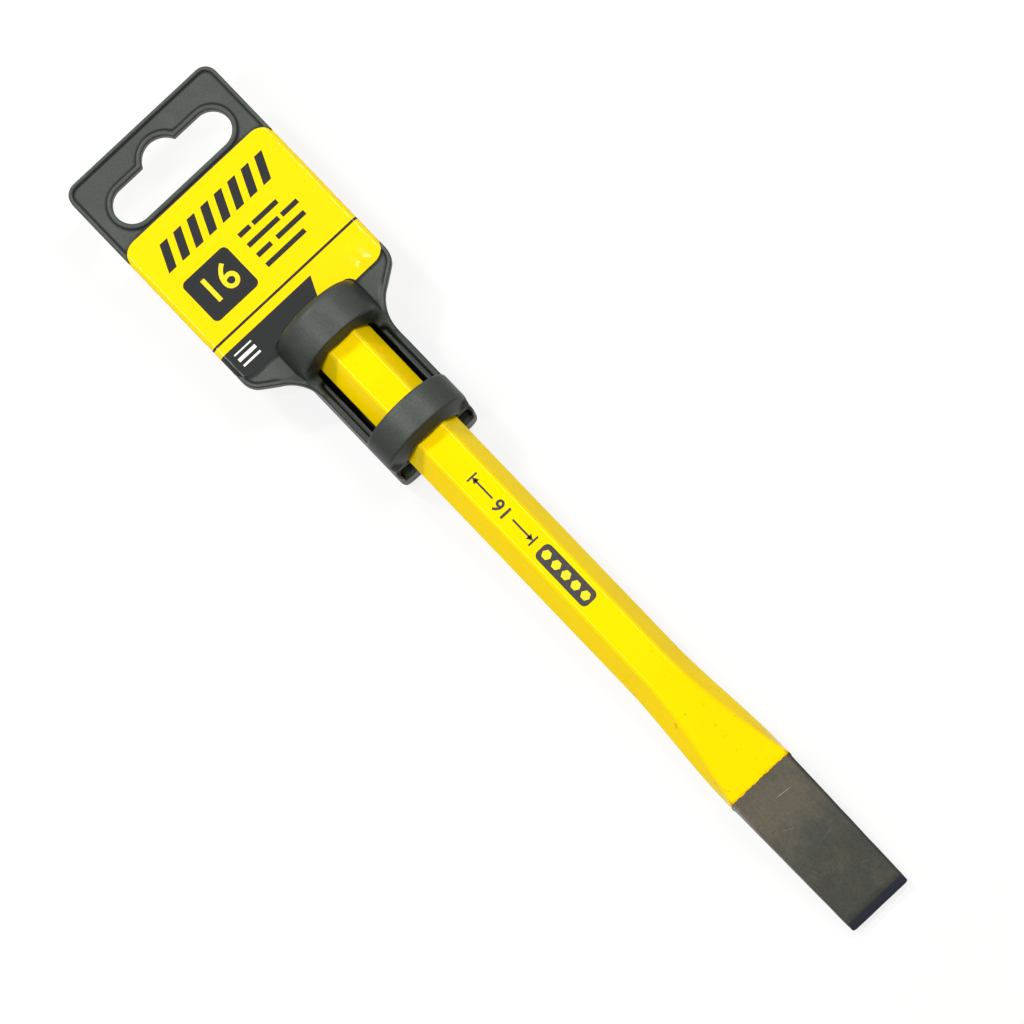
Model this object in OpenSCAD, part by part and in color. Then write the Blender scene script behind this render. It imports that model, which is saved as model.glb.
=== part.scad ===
// Cold chisel in a pull-off retail hanger.
// Modelling frame: X runs along the bar from head (0) to cutting edge, Z out of the label side.
// place() moves every node to the row frame: origin under the middle of the box, back at Z = 0.

/* [Chisel] */
// Length of the forging from striking face to cutting edge
chisel_len = 171.5; // [150:0.5:200]
// Steel across the flats of the hexagon bar
hex_af = 12; // [11:0.1:13]
// Setback of the softened corners along the bar
corner_soft = 0.5; // [0.3:0.1:0.9]
// Chamfer round the struck head
head_chamfer = 1.5; // [0.8:0.1:2.5]
// Width of the cutting edge
blade_w = 15.9; // [15:0.1:18]
// Greatest width, where the flare ends
flare_w = 16.9; // [16:0.1:19]
// Length of the forged part, measured from the cutting edge
forge_len = 71; // [65:0.5:80]
// Thickness where the cutting bevels start
edge_t = 2.2; // [1.6:0.1:3]
// Length of the ground cutting bevels
bevel_len = 1.9; // [1.4:0.1:2.6]
// Flat left on the cutting edge
edge_land = 0.3; // [0.2:0.05:0.5]
// How far the forged sides bulge past the faces
side_bulge = 0.25; // [0.15:0.05:0.4]

/* [Enamel] */
// Thickness of the enamel
coat_t = 0.12; // [0.08:0.01:0.2]
// Bare steel left at the blade
bare_len = 36.6; // [30:0.1:45]

/* [Hanger plate] */
// Width of the plate
plate_w = 41.5; // [38:0.5:46]
// Plate length from its free end to the closed cup
plate_len = 55.3; // [52:0.1:60]
// Thickness of the web
web_t = 1.8; // [1.6:0.1:2.4]
// Thickness over the rim and slot beads
rim_t = 2.9; // [2.6:0.1:3.4]
// Width of the rim bead
rim_w = 0.9; // [0.7:0.05:1.3]
// Radius of the free corners
corner_r = 3; // [2:0.1:5]
// Outer radius of the shoulders
shoulder_r = 4.5; // [3:0.1:5.5]
// Inner radius where a shoulder meets the socket
neck_r = 10; // [7:0.1:12]
// Lean of the shoulder line from the cross direction
shoulder_lean = 35; // [20:1:45]

/* [Hang slot] */
// Length of the slot across the plate
slot_len = 31.6; // [28:0.1:34]
// Width of the slot
slot_w = 8.8; // [7:0.1:9.5]
// From the free end to the slot
slot_in = 7.4; // [6.5:0.1:9]
// Radius of the peg notch
notch_r = 5; // [4:0.1:5.5]
// How far the notch rises above the slot
notch_rise = 3; // [2:0.1:3.5]
// Width of the bead round the slot
bead_w = 1.1; // [0.8:0.05:1.4]

/* [Socket] */
// Diameter of the two front straps
strap_d = 22.2; // [21.5:0.1:23]
// Length of the closed cup strap
cup_len = 10.4; // [9:0.1:11]
// Length of the window between the straps
window_len = 18.5; // [16:0.1:22]
// Length of the mouth strap
mouth_len = 8.7; // [7:0.1:10]
// How far the back reaches past the mouth strap
lip_len = 1.6; // [1:0.1:2.5]
// Width over the rails
rail_w = 21.5; // [20.5:0.1:22]
// Corner radius of the back
back_r = 3.3; // [2.5:0.1:4.5]
// Wall thickness of the back
wall = 1.8; // [1.5:0.1:2]
// Thickness of the rails, ledge included
rail_t = 2.7; // [2.2:0.05:2.9]
// Width of the rail tops outside the ledge
rail_top_w = 1.4; // [0.8:0.05:1.7]
// Height of the rails above the bar axis
rail_top = 1; // [0.5:0.1:1.4]
// Depth of the ledge inside each rail
ledge = 2.2; // [1:0.1:2.6]
// Radius of the window's corners at the cup
window_r = 2.2; // [1.5:0.1:2.6]
// Draft of the window end of the cup
draft = 1.1; // [0.4:0.1:1.3]
// Slope length of the mouth end
mouth_slope = 1.5; // [1:0.1:2]
// Edge rounding of the cup
cup_r = 2.2; // [1.5:0.1:3]
// Clearance between bar and hexagon passage
fit = 0.25; // [0.2:0.05:0.4]
// Gap between the head and the end of the cup
stop_gap = 0.2; // [0.15:0.05:0.5]

/* [Label] */
// Length of the wrapped label along the plate
label_len = 38.8; // [36:0.1:39.5]
// Overlap of the label past the start of the cup
label_past_cup = 1.5; // [1:0.1:2.5]
// Thickness of the label
label_t = 0.2; // [0.15:0.05:0.3]
// Corner radius of the label
label_r = 4; // [3:0.1:6]

/* [Hidden] */
$fn = 64;
hex_r = hex_af / sqrt(3);
forge_x = chisel_len - forge_len;
bevel_x = chisel_len - bevel_len;
paint_x = chisel_len - bare_len;
flare_end = forge_x + 28;
face_end = paint_x;
cup_wall = 3.9;
cup_x = -cup_wall - coat_t - stop_gap;
window_x = cup_x + cup_len;
strap_x = window_x + window_len;
mouth_x = strap_x + mouth_len;
lip_x = mouth_x + lip_len;
lip_r = 1;
plate_x = cup_x - plate_len;
strap_r = strap_d / 2;
axis_z = strap_r;
rail_y = rail_w / 2;
strap_foot = -2;
pocket_z = -5;
pocket_y0 = 5.75;
pocket_y1 = rail_y - 0.9;
passage_r = (hex_af + 2 * coat_t + 2 * fit) / sqrt(3);
label_x1 = cup_x + label_past_cup;
label_x0 = label_x1 - label_len;
seat_r = rim_t / 2 - label_t - 0.05;
seat_y = plate_w / 2 - label_t;
slot_mid = plate_x + slot_in + slot_w / 2;
notch_x = plate_x + slot_in - notch_rise + notch_r;
mid_x = (plate_x + chisel_len) / 2;

// Blend from 0 to 1 between a and b, level at both ends
function smooth(a, b, x) =
    let (t = max(0, min(1, (x - a) / (b - a)))) t * t * (3 - 2 * t);
function mix(a, b, t) = a + (b - a) * t;
// Widening of the faces from 0 on the bar to 1 at the paint line
function widened(x) = pow(max(0, min(1, (x - forge_x) / (face_end - forge_x))), 1.9);
// Straight run from 0 to 1 with a soft start over the first quarter
function soft_start(t) = (t < 0.25 ? 2 * t * t : t - 0.125) / 0.875;
function unit(v) = v / norm(v);

// Half thickness, half width at the sides and half width of the faces, each at station x
function half_t(x) =
    x <= forge_x ? hex_af / 2
    : x <= bevel_x ? mix(hex_af / 2, edge_t / 2, soft_start((x - forge_x) / (bevel_x - forge_x)))
    : mix(edge_t / 2, edge_land / 2, (x - bevel_x) / bevel_len);
function half_side(x) =
    mix(hex_r, flare_w / 2, smooth(forge_x, flare_end, x))
    - (flare_w - blade_w) / 2 * max(0, (x - flare_end) / (chisel_len - flare_end));
function half_face(x) =
    mix(hex_r / 2, half_side(x) - side_bulge, widened(x));

// Six corners of the section at x, grown outward by t
function corners(x, t) =
    let (
        s = widened(x),
        h = half_t(x) + t,
        y1 = half_face(x) + t * mix(0.58, 1, s),
        y2 = half_side(x) + t * mix(1.155, 1, s)
    ) [[y1, h], [-y1, h], [-y2, 0], [-y1, -h], [y1, -h], [y2, 0]];
// A corner p between a and b as three points on a small curve
function softened(p, a, b, d) =
    let (pa = p + d * unit(a - p), pb = p + d * unit(b - p))
    [pa, (pa + 2 * p + pb) / 4, pb];
// Section ring at x, with s shrinking it for the head chamfer
function ring(x, t, at, s = 1) =
    let (c = corners(x, t), d = min(corner_soft, 0.3 * half_t(x)))
    [for (i = [0:5]) for (p = softened(c[i], c[(i + 5) % 6], c[(i + 1) % 6], d)) [at, s * p[0], s * p[1]]];

// Rings from the chamfered head to the paint line
head_scale = 1 - head_chamfer / (hex_af / 2);
function painted_rings(t) = [
    ring(0, t, -t, head_scale),
    ring(head_chamfer, t, head_chamfer),
    for (i = [0:12]) let (x = mix(forge_x, paint_x, i / 12)) ring(x, t, x)
];
function backwards(rings) = [for (i = [len(rings) - 1:-1:0]) rings[i]];

// Two triangles of the patch between ring k and the next, cut the same way in both directions of travel
function patch(rings, n, k, i) =
    let (a = k * n + i, b = a + n, c = (k + 1) * n + (i + 1) % n, d = c - n)
    rings[k][0][0] < rings[k + 1][0][0] ? [[a, b, c], [a, c, d]] : [[a, b, d], [b, c, d]];
// Closed skin through rings that all have the same number of points
module skin(rings) {
    n = len(rings[0]);
    last = (len(rings) - 1) * n;
    polyhedron(
        points = [for (r = rings) each r],
        faces = concat(
            [[for (i = [0:n - 1]) i]],
            [for (k = [0:len(rings) - 2]) for (i = [0:n - 1]) each patch(rings, n, k, i)],
            [[for (i = [n - 1:-1:0]) last + i]]
        )
    );
}

module place() {
    translate([-mid_x, 0, axis_z]) children();
}

// Extrudes a profile drawn in Y and Z from x0 to x1
module along_x(x0, x1) {
    translate([x0, 0, 0]) rotate([90, 0, 90]) linear_extrude(x1 - x0) children();
}

// Extrudes an outline drawn in X and Y to a thickness about the middle plane
module plate_slab(t) {
    translate([0, 0, -t / 2]) linear_extrude(t) children();
}

function arc(cx, cy, r, a0, a1, n = 10) =
    [for (i = [0:n]) let (a = mix(a0, a1, i / n)) [cx + r * cos(a), cy + r * sin(a)]];

// One side of the plate outline: free corner, shoulder and neck
function plate_side() =
    let (
        y = plate_w / 2,
        shoulder_x = cup_x + 0.75,
        a = shoulder_lean,
        sx = shoulder_x + shoulder_r * cos(a),
        sy = y - shoulder_r + shoulder_r * sin(a),
        ny = rail_y + neck_r,
        drop = sy - (ny - neck_r * sin(a)),
        neck_x = sx + drop * tan(a) + neck_r * cos(a)
    ) concat(
        arc(plate_x + corner_r, y - corner_r, corner_r, 180, 90),
        arc(shoulder_x, y - shoulder_r, shoulder_r, 90, a),
        arc(neck_x, ny, neck_r, 180 + a, 270),
        [[neck_x, rail_y - 0.5]]
    );
module plate_outline() {
    side = plate_side();
    n = len(side) - 1;
    polygon(concat(side, [for (i = [n:-1:0]) [side[i][0], -side[i][1]]]));
}

// Hang slot with its peg notch, grown by g
module slot_outline(g = 0) {
    y = (slot_len - slot_w) / 2;
    translate([slot_mid - slot_w / 2 - g, -y]) square([slot_w + 2 * g, 2 * y]);
    for (s = [-1, 1]) translate([slot_mid, s * y]) circle(slot_w / 2 + g);
    translate([notch_x, 0]) circle(notch_r + g);
}

// Back of the socket: flat bottom, round corners, straight rails up to top
module back_profile(half, depth, r, top) {
    translate([-half, r - depth]) square([2 * half, depth - r + top]);
    translate([r - half, -depth]) square([2 * (half - r), 2 * r]);
    for (s = [-1, 1]) translate([s * (half - r), r - depth]) circle(r);
}

// Half round strap turned from a profile in X and radius
module strap(profile) {
    intersection() {
        rotate([0, 90, 0]) rotate_extrude() polygon([for (p = profile) [p[1], p[0]]]);
        translate([cup_x - 1, -strap_d, strap_foot]) cube([mouth_x - cup_x + 2, 2 * strap_d, strap_d]);
    }
}

module chisel_forging() {
    color("#57544c") place()
        skin(concat(painted_rings(0), [for (x = [bevel_x, chisel_len]) ring(x, 0, x)]));
}

// The enamel is a cup: out along its outer face, then back along the steel
module enamel_coat() {
    color("#ffd800") place()
        skin(concat(painted_rings(coat_t), backwards(painted_rings(0))));
}

module hanger() {
    color("#3d403f") place() {
        difference() {
            union() {
                plate();
                socket();
            }
            plate_slab(strap_d) slot_outline();
            along_x(cup_x + cup_wall, lip_x + 1) circle(passage_r, $fn = 6);
        }
    }
}

// Flat part: web, rim, slot bead and the seat of the label
module plate() {
    difference() {
        union() {
            plate_slab(web_t) plate_outline();
            plate_slab(rim_t) rim_outline();
            plate_slab(rim_t) slot_outline(bead_w);
        }
        plate_slab(2 * rim_t) label_outline(0.15);
        along_x(cup_x + 1, mouth_x) square([2 * (rail_y - 1), strap_d], center = true);
    }
    difference() {
        intersection() {
            label_seat(seat_r, seat_y);
            plate_slab(2 * rim_t) label_outline(0.15);
        }
        along_x(cup_x + 1, mouth_x) square([2 * (rail_y - 1), strap_d], center = true);
    }
}
module rim_outline() {
    difference() {
        plate_outline();
        offset(delta = -rim_w) plate_outline();
    }
}
// Slab with full round edges, a little longer than the label
module label_seat(r, y) {
    along_x(label_x0 - 0.2, label_x1 + 0.2) {
        square([2 * (y - r), 2 * r], center = true);
        for (s = [-1, 1]) translate([s * (y - r), 0]) circle(r);
    }
}

// Plan of the back, with soft corners at the cup and at the lip
module back_plan() {
    hull() for (s = [-1, 1]) {
        translate([cup_x + cup_r, s * (rail_y - cup_r)]) circle(cup_r);
        translate([lip_x - lip_r, s * (rail_y - lip_r)]) circle(lip_r);
    }
}

// Tubular part: closed cup, window with two rails, mouth ring, and a back that ends in a lip
module socket() {
    difference() {
        intersection() {
            union() {
                along_x(cup_x, mouth_x) back_profile(rail_y, axis_z, back_r, rail_top);
                along_x(mouth_x - 1, lip_x) back_profile(rail_y, axis_z, back_r, strap_foot);
            }
            plate_slab(4 * strap_d) back_plan();
        }
        along_x(window_x, mouth_x - 2)
            back_profile(rail_y - rail_t, axis_z - wall, back_r - wall, strap_r);
        along_x(window_x + window_r, strap_x) translate([rail_top_w - rail_y, rail_top - ledge])
            square([2 * (rail_y - rail_top_w), strap_r]);
        for (s = [-1, 1]) along_x(mouth_x - 0.6, lip_x + 1) scale([s, 1])
            translate([pocket_y0, pocket_z]) square([pocket_y1 - pocket_y0, strap_foot - pocket_z + 0.1]);
    }
    strap(concat(
        [[cup_x, 0]],
        [for (p = arc(cup_x + cup_r, strap_r - cup_r, cup_r, 180, 90, 6)) p],
        [[window_x - draft, strap_r], [window_x, hex_r - 1], [window_x, 0]]
    ));
    strap([[strap_x, 0], [strap_x, strap_r - 0.4], [strap_x + 0.4, strap_r],
        [mouth_x - mouth_slope, strap_r], [mouth_x, hex_r + 0.6], [mouth_x, 0]]);
    for (s = [-1, 1]) window_corner(s);
}

// Fillet between the cup and a rail: rounded in plan, and falling from the cup to the rail's top
module window_corner(s) {
    y = rail_y - rail_top_w - window_r;
    x0 = window_x - draft;
    x1 = window_x + window_r;
    fall = 2.4;
    intersection() {
        translate([0, 0, strap_foot]) linear_extrude(strap_r) polygon(concat(
            [[x1, s * (rail_y - 0.05)], [x0, s * (rail_y - 0.05)], [x0, s * y]],
            [for (p = arc(x1, y, window_r, 180, 90, 6)) [p[0], s * p[1]]]
        ));
        translate([0, strap_r, 0]) rotate([90, 0, 0]) linear_extrude(strap_d) polygon(concat(
            [[x1, strap_foot], [x0 - 1, strap_foot], [x0 - 1, rail_top + fall]],
            arc(x1, rail_top + fall, fall, 180, 270, 6)
        ));
    }
}

module wrap_label() {
    color("#ffe000") place() difference() {
        intersection() {
            difference() {
                label_seat(seat_r + label_t, seat_y + label_t);
                label_seat(seat_r, seat_y);
            }
            plate_slab(strap_d) label_outline();
        }
        plate_slab(strap_d) cup_gap();
    }
}
// Rounded rectangle of the label seen from the front, grown by g
module label_outline(g = 0) {
    offset(label_r + g) translate([label_x0 + label_r, label_r - plate_w / 2])
        square([label_len - 2 * label_r, plate_w - 2 * label_r]);
}
// Gap that the label leaves round the cup
module cup_gap() {
    r = cup_r + 0.2;
    offset(r) translate([cup_x - 0.3 + r, r - strap_r - 0.3])
        square([mouth_x - cup_x, strap_d + 0.6 - 2 * r]);
}

chisel_forging();
enamel_coat();
hanger();
wrap_label();
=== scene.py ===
import math

import bmesh
import bpy
import numpy as np
from mathutils import Matrix, Vector


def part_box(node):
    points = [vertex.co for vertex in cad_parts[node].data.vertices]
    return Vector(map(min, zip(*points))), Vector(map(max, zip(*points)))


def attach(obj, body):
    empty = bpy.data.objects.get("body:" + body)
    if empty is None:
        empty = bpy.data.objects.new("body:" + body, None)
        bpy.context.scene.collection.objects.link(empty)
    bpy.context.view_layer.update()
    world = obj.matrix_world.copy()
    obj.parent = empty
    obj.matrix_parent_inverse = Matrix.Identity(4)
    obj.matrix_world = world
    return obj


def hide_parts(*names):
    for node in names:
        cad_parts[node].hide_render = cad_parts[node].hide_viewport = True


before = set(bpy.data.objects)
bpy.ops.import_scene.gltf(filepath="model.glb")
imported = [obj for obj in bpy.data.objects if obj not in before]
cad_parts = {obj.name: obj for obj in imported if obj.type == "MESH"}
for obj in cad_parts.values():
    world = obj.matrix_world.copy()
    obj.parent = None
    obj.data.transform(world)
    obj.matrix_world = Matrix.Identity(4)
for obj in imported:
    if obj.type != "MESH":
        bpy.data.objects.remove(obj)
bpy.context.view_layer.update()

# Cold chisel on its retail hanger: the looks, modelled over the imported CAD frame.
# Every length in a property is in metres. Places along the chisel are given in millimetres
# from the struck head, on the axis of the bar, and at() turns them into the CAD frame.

bl_info = {
    "name": "Cold chisel on a hanger",
    "version": (1, 0, 0),
    "blender": (4, 5, 0),
    "location": "3D View > Sidebar > Cold chisel",
    "description": "Models a cold chisel, its enamel, its pull-off hanger and the wrapped label",
    "category": "Object",
}

MM = 0.001
SLACK = 0.01 * MM  # places closer than this are the same
WHITE = (1.0, 1.0, 1.0, 1.0)
STEEL_LOW, STEEL_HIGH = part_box("chisel_forging")
HANGER_LOW, HANGER_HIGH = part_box("hanger")
LABEL_LOW, LABEL_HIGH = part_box("wrap_label")
HEAD = Vector((STEEL_LOW.x, 0.0, (STEEL_LOW.z + STEEL_HIGH.z) / 2))

# Places in millimetres: the size mark and the plaque along the bar, from the head
SIZE_MARK, PLAQUE = 55.8, 75.4
# The middle of the badge, down from the label's upper edge and across the plate
BADGE_DOWN, BADGE_ACROSS = 19.6, -9.8
# Where the label is lifted, from the head and across the plate, and the gap in it for the cup
LIFTED = (-6.2, 15.6)
CUP_END, CUP_HALF = -4.52, 11.4
# Prints in millimetres: how far they stand proud, their thickness and a thin line
PROUD, INK, LINE = 0.012, 0.04, 0.45
CAP_HEIGHT = 0.7  # height of a figure as a share of its font size


def linear(hex_value):
    """An sRGB hex colour as linear RGBA."""
    parts = [int(hex_value[i:i + 2], 16) / 255 for i in (1, 3, 5)]
    return (*[p / 12.92 if p <= 0.04045 else ((p + 0.055) / 1.055) ** 2.4 for p in parts], 1.0)


def length(name, description, mm):
    """A length property whose default is given in millimetres."""
    return bpy.props.FloatProperty(
        name=name, description=description, default=mm * MM, min=0.0, unit="LENGTH", precision=5
    )


def colour(name, description, hex_value):
    """A colour property whose default is an sRGB hex value."""
    return bpy.props.FloatVectorProperty(
        name=name, description=description, default=linear(hex_value), size=4,
        min=0.0, max=1.0, subtype="COLOR",
    )


def angle(name, description, degrees):
    """An angle property whose default is given in degrees."""
    return bpy.props.FloatProperty(
        name=name, description=description, default=math.radians(degrees), subtype="ANGLE"
    )


def passes(name, description, default):
    """A property that counts smoothing passes."""
    return bpy.props.IntProperty(name=name, description=description, default=default, min=0)


def amount(name, description, default, unit="NONE"):
    """A property for a plain amount, or for one with a unit."""
    return bpy.props.FloatProperty(name=name, description=description, default=default, unit=unit)


class ChiselSizes(bpy.types.PropertyGroup):
    """Sizes of the forging and its enamel."""

    long: length("Length", "From the struck head to the edge", (STEEL_HIGH.x - STEEL_LOW.x) / MM)
    across_flats: length("Across flats", "Steel across the flats of the hexagon bar", 12)
    ridge: length("Ridge softness", "Rounding of the six ridges of the bar", 0.5)
    flare_ridge: length("Flare ridge softness", "Rounding of the ridges where the bar flares", 1.1)
    blade_ridge: length("Blade edge softness", "Rounding of the long edges of the blade", 0.28)
    bevel_ridge: length("Bevel edge softness", "Rounding of the edges of the bevels", 0.05)
    head_chamfer: length("Head chamfer", "Chamfer round the struck head", 1.5)
    blade_width: length("Blade width", "Width of the cutting edge", 15.9)
    flare_width: length("Flare width", "Greatest width, where the flare ends", 16.9)
    flare_long: length("Flare length", "Length over which the sides flare", 28)
    forged: length("Forged length", "Forged part, measured from the cutting edge", 71)
    edge_thickness: length("Edge thickness", "Thickness where the cutting bevels start", 2.2)
    bevel: length("Cutting bevel", "Length of the ground cutting bevels", 1.9)
    land: length("Edge land", "Flat left on the cutting edge", 0.3)
    bulge: length("Side bulge", "How far the forged sides stand past the faces", 0.25)
    coat: length("Enamel thickness", "Thickness of the enamel", 0.12)
    bare: length("Bare length", "Steel left bare at the blade", 36.6)
    ragged: length("Ragged edge", "How far the edge of the enamel wanders", 0.55)


class HangerSizes(bpy.types.PropertyGroup):
    """Sizes of the moulded hanger's finish."""

    voxel: length("Detail", "Grain of the surface that rounds the moulded edges", 0.18)
    rounds: passes("Rounding", "Smoothing passes over the moulded edges", 5)
    socket_rounds: passes("Socket rounding", "Further passes over the socket", 14)
    rail_rounds: passes("Rail rounding", "Further passes along the rails", 24)
    bead_rounds: passes("Bead rounding", "Further passes over the beads of the plate", 16)
    foot_rounds: passes("Foot rounding", "Further passes where the cup meets the plate", 60)
    corner_rounds: passes("Corner rounding", "Further passes at the window's corners and lip", 50)


class LabelSizes(bpy.types.PropertyGroup):
    """Sizes of the wrapped label and its print."""

    film: length("Film", "Thickness of the label", 0.2)
    corner: length("Corner", "Radius of the label's corners", 4)
    wave: length("Wave", "How far the film stands off the plate", 0.05)
    crinkle: length("Crinkle", "Depth of the creases along the folds", 0.15)
    lift: length("Corner lift", "How far the film by one corner stands off the plate", 0.42)
    figure: length("Figure", "Height of the size figure in the badge", 6.2)


class FinishColours(bpy.types.PropertyGroup):
    """Colours of the finishes."""

    enamel: colour("Enamel", "Gloss enamel on the bar", "#FFDC00")
    enamel_thin: colour("Thin enamel", "Enamel where it thins or gathers dirt", "#EEA200")
    speck: colour("Speck", "Dust and dirt caught in the enamel", "#B86400")
    steel_brown: colour("Brown steel", "Browner patches of the tempered blade", "#4E493E")
    steel_grey: colour("Grey steel", "Greener grey patches of the tempered blade", "#3E3F38")
    # Also a painted highlight along one long edge of the blade
    steel_scratch_and_highlight: colour("Rubbed steel", "Scratches and rubbed edges", "#8E8A80")
    cutting: colour("Cutting bevel", "Blued steel of the ground bevels", "#272932")
    plastic: colour("Hanger plastic", "Charcoal polypropylene", "#3E433E")
    # Also a painted highlight on the crests of edges
    plastic_worn_and_highlight: colour("Rubbed plastic", "Plastic where it has been handled", "#595E58")
    # Painted shade on the flanks of the socket and beads and on the rails beside the window
    plastic_flank_shade: colour("Flank plastic", "Plastic on the flanks of socket and beads", "#232825")
    # Painted shade at the foot of beads and steps
    plastic_hollow_shade: colour("Hollow plastic", "Plastic at the foot of beads and steps", "#14171A")
    film: colour("Label yellow", "Printed yellow of the label", "#FFD700")
    ink: colour("Ink", "Black print", "#2E3030")
    paper: colour("Paper white", "White lines in the print", "#F2F0E6")
    floor: colour("Floor", "Plain pale floor", "#C4C4C1")


class StageSettings(bpy.types.PropertyGroup):
    """Camera and light."""

    tilt: angle("Tilt", "Camera pitch", 10.781)
    lean: angle("Lean", "Camera lean", 5.352)
    roll: angle("Roll", "Camera roll about the line of sight", 47.043)
    distance: length("Distance", "From the aim point to the camera", 4000)
    frame_width: length("Frame width", "Width of the picture at the aim point", 215.04)
    aim: bpy.props.FloatVectorProperty(
        name="Aim", description="Point in the middle of the picture",
        default=(0.41 * MM, 1.38 * MM, 11.1 * MM), size=3, subtype="TRANSLATION",
    )
    key: amount("Key light", "Power of the soft key light", 7.5, "POWER")
    strips: amount("Strip lights", "Power of each long light beside the object", 4.6, "POWER")
    ambient: amount("Ambient", "Strength of the light from all round", 0.27)
    glow: amount("Floor glow", "White that the floor shows where it is looked at", 1.12)
    glow_share: amount("Glow share", "Share of that white in the look of the floor", 0.75)


class ColdChiselSettings(bpy.types.PropertyGroup):
    """All settings of the model."""

    chisel: bpy.props.PointerProperty(type=ChiselSizes)
    hanger: bpy.props.PointerProperty(type=HangerSizes)
    label: bpy.props.PointerProperty(type=LabelSizes)
    colours: bpy.props.PointerProperty(type=FinishColours)
    stage: bpy.props.PointerProperty(type=StageSettings)


# ---- modelling helpers


def at(x, y=0.0, z=0.0):
    """A place in millimetres from the struck head on the bar axis, in the CAD frame."""
    return HEAD + Vector((x, y, z)) * MM


def starts(sizes, head=0.0):
    """Where the forging, the bare steel and the cutting bevel start, with the head at this x."""
    return [head + sizes.long - part for part in (sizes.forged, sizes.bare, sizes.bevel)]


def fresh():
    """Object mode with nothing selected."""
    if bpy.context.mode != "OBJECT":
        bpy.ops.object.mode_set(mode="OBJECT")
    bpy.ops.object.select_all(action="DESELECT")


def only(obj):
    """Selects one object and makes it active."""
    fresh()
    obj.select_set(True)
    bpy.context.view_layer.objects.active = obj
    return obj


def edit(obj):
    """Opens one object in edit mode."""
    only(obj)
    bpy.ops.object.mode_set(mode="EDIT")


def pick(kind, test):
    """In edit mode, selects the vertices, edges or faces that pass the test."""
    mesh = bpy.context.edit_object.data
    bpy.ops.mesh.select_mode(type=kind)
    bpy.ops.mesh.select_all(action="DESELECT")
    shape = bmesh.from_edit_mesh(mesh)
    kinds = {"VERT": shape.verts, "EDGE": shape.edges, "FACE": shape.faces}
    for e in [e for e in kinds[kind] if test(e)]:
        e.select_set(True)
    shape.select_flush_mode()
    bmesh.update_edit_mesh(mesh)


def middle(element):
    """Middle of an edge or face."""
    return sum((v.co for v in element.verts), Vector()) / len(element.verts)


def span(edge):
    """How far an edge reaches along X, Y and Z."""
    a, b = (v.co for v in edge.verts)
    return Vector([abs(step) for step in a - b])


def modify(obj, kind, **settings):
    """Adds a modifier, sets it and applies it."""
    only(obj)
    modifier = obj.modifiers.new(kind.title(), kind)
    for name, value in settings.items():
        setattr(modifier, name, value)
    bpy.ops.object.modifier_apply(modifier=modifier.name)


def roughen(obj, name, lump, **settings):
    """Displaces a mesh by a cloud texture with lumps of this size in metres."""
    texture = bpy.data.textures.new(name, "CLOUDS")
    texture.noise_scale = lump
    texture.noise_depth = 2
    modify(obj, "DISPLACE", texture=texture, texture_coords="LOCAL", **settings)


def group(obj, name, weigh):
    """Vertex group in which each vertex is weighed by its place, from 0 to 1 in tenths."""
    made = obj.vertex_groups.new(name=name)
    shares = {}
    for v in obj.data.vertices:
        shares.setdefault(round(float(weigh(v.co)), 1), []).append(v.index)
    for share, found in shares.items():
        made.add(found, share, "REPLACE")
    return name


def mark_hollows(obj, grain):
    """Stores how hollow, above 0, or proud an even mesh is at each point, and how it faces Z."""
    mesh = obj.data
    count = len(mesh.vertices)
    places, normals = np.empty(3 * count), np.empty(3 * count)
    mesh.vertices.foreach_get("co", places)
    mesh.vertices.foreach_get("normal", normals)
    ends = np.empty(2 * len(mesh.edges), dtype=np.int32)
    mesh.edges.foreach_get("vertices", ends)
    here = np.concatenate((ends[::2], ends[1::2]))
    there = np.concatenate((ends[1::2], ends[::2]))
    links = np.bincount(here, minlength=count)

    def around(values):
        return np.bincount(here, values[there], count) / links

    hollow = sum((around(places[k::3]) - places[k::3]) * normals[k::3] for k in range(3)) / grain
    # Blurred, so that the grain of the mesh doesn't show
    for _ in range(6):
        hollow = (hollow + around(hollow)) / 2
    for name, values in (("hollow", hollow), ("facing", abs(normals[2::3]))):
        stored = mesh.attributes.new(name, "FLOAT", "POINT")
        stored.data.foreach_set("value", values.astype(np.float32))


def duplicate(obj):
    """A copy of an object with its own mesh, at the origin and riding on nothing."""
    copy = bpy.data.objects.new(obj.name + ".copy", obj.data.copy())
    bpy.context.scene.collection.objects.link(copy)
    return only(copy)


def join(objects):
    """Joins the objects into the first one."""
    fresh()
    for o in objects:
        o.select_set(True)
    bpy.context.view_layer.objects.active = objects[0]
    bpy.ops.object.join()
    return objects[0]


def finish_piece(obj, name, body, slot, material, *nodes):
    """Names a finished piece, gives it its material and ties it to the CAD frame."""
    obj.name = obj.data.name = name
    obj.data.materials.clear()
    obj.data.materials.append(material)
    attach(obj, body)
    if nodes:
        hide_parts(*nodes)
    fresh()


# ---- material helpers


def result(made):
    """The first output of a node that its options leave in use."""
    return next(o for o in made.outputs if o.enabled)


def node(tree, kind, inputs=None, **settings):
    """Adds a shader node with its options. An input takes a value, a socket or a whole node."""
    made = tree.nodes.new("ShaderNode" + kind)
    for name, value in settings.items():
        setattr(made, name, value)
    for name, value in (inputs or {}).items():
        if isinstance(value, bpy.types.Node):
            value = result(value)
        if isinstance(value, bpy.types.NodeSocket):
            tree.links.new(value, made.inputs[name])
        else:
            made.inputs[name].default_value = value
    return made


def finish(name, **sockets):
    """A new material: its tree, its object coordinates in metres and its shader."""
    material = bpy.data.materials.new(name)
    material.use_nodes = True
    tree = material.node_tree
    tree.nodes.clear()
    place = node(tree, "TexCoord").outputs["Object"]
    shader = node(tree, "BsdfPrincipled", {k.replace("_", " "): v for k, v in sockets.items()})
    node(tree, "OutputMaterial", {"Surface": shader})
    return material, tree, place, shader


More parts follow.
